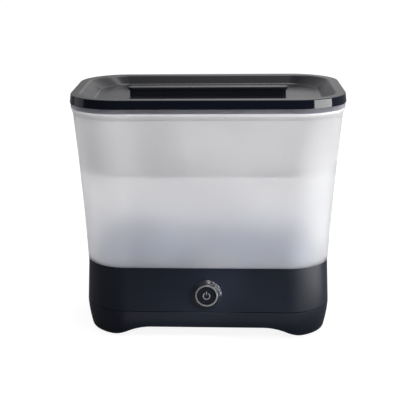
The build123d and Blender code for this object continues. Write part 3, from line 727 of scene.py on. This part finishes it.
def power_symbol(material):
    """Ring and bar, pressed onto the hollow face of the cap."""
    bm = bmesh.new()
    add_ring(bm)
    add_bar(bm)
    for vert in bm.verts:
        across = vert.co.x ** 2 + vert.co.z ** 2
        vert.co.y -= across / (2 * HOLLOW_RADIUS)
    bmesh.ops.translate(bm, verts=bm.verts, vec=(0, SYMBOL_Y, button.z))
    new_piece("power_symbol", bm, material, "button")


print_ink = moulded("print_ink", (0.25, 0.25, 0.27), 0.5, depth=0.000002)
power_symbol(print_ink)

# %% [markdown]
# ## Return spring
# A small coil of steel wire pushes the cap back out. The round wire is a circle that a spin
# carries round the spring's axis while it also moves along it, which gives the helix in one step.
# The CAD keeps a simple solid for it, and this piece takes that solid's place. It rides on the
# button.

# %% Return spring
SPRING_LOW, SPRING_HIGH = -0.09000, -0.08390
SPRING_RADIUS = 0.0042
WIRE_RADIUS = 0.00035
WIRE_SIDES = 10
TURNS = 5.5
STEPS_A_TURN = 28


def return_spring(material):
    """Coil of round wire about the button's axis."""
    bm = bmesh.new()
    wire = bmesh.ops.create_circle(bm, cap_ends=True, segments=WIRE_SIDES, radius=WIRE_RADIUS)
    place = (SPRING_RADIUS, SPRING_LOW + WIRE_RADIUS, button.z)
    bmesh.ops.translate(bm, verts=wire["verts"], vec=place)
    steps = int(TURNS * STEPS_A_TURN)
    rise = (SPRING_HIGH - SPRING_LOW - 2 * WIRE_RADIUS) / steps
    bmesh.ops.spin(
        bm,
        geom=bm.faces[:],
        cent=(0, 0, button.z),
        axis=ALONG_Y,
        dvec=(0, rise, 0),
        angle=math.tau * TURNS,
        steps=steps,
        use_merge=False,
    )
    for face in bm.faces:
        face.smooth = True
    return new_piece("return_spring", bm, material, "button")


spring = return_spring(steel)
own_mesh(spring)
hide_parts("button_spring")

# %% [markdown]
# ## Bottle guide
# Through the frosted wall a bluish zone shows well above the drain deck and ends in a level line,
# so something flat lies there. It is made as a guide plate with a round hole for each bottle's
# neck. Its shape starts as lists of points: a rounded rectangle for the outline and a circle for
# each hole. Both come from one helper, because a corner is a quarter of a circle. The boxes of
# the drain rack and its pegs tell how wide the plate may be and where the bottles stand.

# %% Outline and holes of the guide
SIDE_GAP, FRONT_GAP = 0.013, 0.009
GUIDE_CORNER = 0.026
DECK_THICKNESS = 0.0023
GUIDE_LIFT = 0.0183
GUIDE_THICKNESS = 0.0022
NECK_RADIUS = 0.0225
PEG_RADIUS = 0.006
CORNER_STEPS, NECK_STEPS = 8, 40
rack_low, rack_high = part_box("rack_tray")
pegs_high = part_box("bottle_pegs")[1]
guide_half = (rack_high.x - SIDE_GAP, rack_high.y - FRONT_GAP)
deck = rack_low.z + DECK_THICKNESS
guide_low = deck + GUIDE_LIFT
column, row = pegs_high.x - PEG_RADIUS, pegs_high.y - PEG_RADIUS


def loop(bm, points):
    """Closed chain of edges through points at the plate's underside."""
    verts = [bm.verts.new((x, y, guide_low)) for x, y in points]
    return [bm.edges.new((verts[i - 1], vert)) for i, vert in enumerate(verts)]


def arc(x, y, radius, start, share, steps):
    """Points on a share of a circle, both ends included."""
    turns = [start + math.tau * share * i / steps for i in range(steps + 1)]
    return [(x + radius * math.cos(a), y + radius * math.sin(a)) for a in turns]


def guide_outline():
    """Rounded rectangle, corner by corner."""
    x, y = guide_half[0] - GUIDE_CORNER, guide_half[1] - GUIDE_CORNER
    points = []
    for quarter, (sx, sy) in enumerate(((1, 1), (-1, 1), (-1, -1), (1, -1))):
        start = quarter * math.pi / 2
        points += arc(sx * x, sy * y, GUIDE_CORNER, start, 0.25, CORNER_STEPS)
    return points


def neck_holes():
    """Full circles, each without its last point, which is its first one again."""
    places = [(x, y) for x in (-column, 0, column) for y in (-row, row)]
    return [arc(x, y, NECK_RADIUS, 0, 1.0, NECK_STEPS)[:-1] for x, y in places]


print("outline of", len(guide_outline()), "points and", len(neck_holes()), "holes")

# %% [markdown]
# The points become closed chains of edges. A triangle fill turns the chains into one flat sheet
# with holes, which is simpler than cutting holes with a Boolean, and an extrusion gives the sheet
# its thickness. Eight round posts carry the plate above the drain deck.

# %% Bottle guide
POST_RADIUS = 0.0035
POST_SIDES = 16
END_INSET, SIDE_INSET, CORNER_INSET = 0.0075, 0.007, 0.0205
end_x, side_y = guide_half[0] - END_INSET, guide_half[1] - SIDE_INSET
corner_y = guide_half[1] - CORNER_INSET
# Each pair is a place along X with the distance of its two posts from the middle.
post_pairs = ((-end_x, corner_y), (-column / 2, side_y), (column / 2, side_y), (end_x, corner_y))


def add_plate(bm):
    """Flat plate with holes, raised from its underside."""
    edges = [edge for points in (guide_outline(), *neck_holes()) for edge in loop(bm, points)]
    plate = bmesh.ops.triangle_fill(bm, edges=edges, use_beauty=True)["geom"]
    faces = [item for item in plate if isinstance(item, bmesh.types.BMFace)]
    raised = bmesh.ops.extrude_face_region(bm, geom=faces, use_keep_orig=True)["geom"]
    verts = [item for item in raised if isinstance(item, bmesh.types.BMVert)]
    bmesh.ops.translate(bm, verts=verts, vec=(0, 0, GUIDE_THICKNESS))


def add_posts(bm):
    """Round posts from the drain deck to the plate."""
    for x, y in [(x, side * away) for x, away in post_pairs for side in (-1, 1)]:
        bmesh.ops.create_cone(
            bm,
            cap_ends=True,
            segments=POST_SIDES,
            radius1=POST_RADIUS,
            radius2=POST_RADIUS,
            depth=GUIDE_LIFT,
            matrix=Matrix.Translation((x, y, deck + GUIDE_LIFT / 2)),
        )


def bottle_guide(material):
    """Plate and posts as one piece of the lower rack."""
    bm = bmesh.new()
    add_plate(bm)
    add_posts(bm)
    new_piece("bottle_guide", bm, material, "lower_rack")


guide_plastic = moulded("guide_plastic", (0.27, 0.36, 0.60), 0.5)
bottle_guide(guide_plastic)
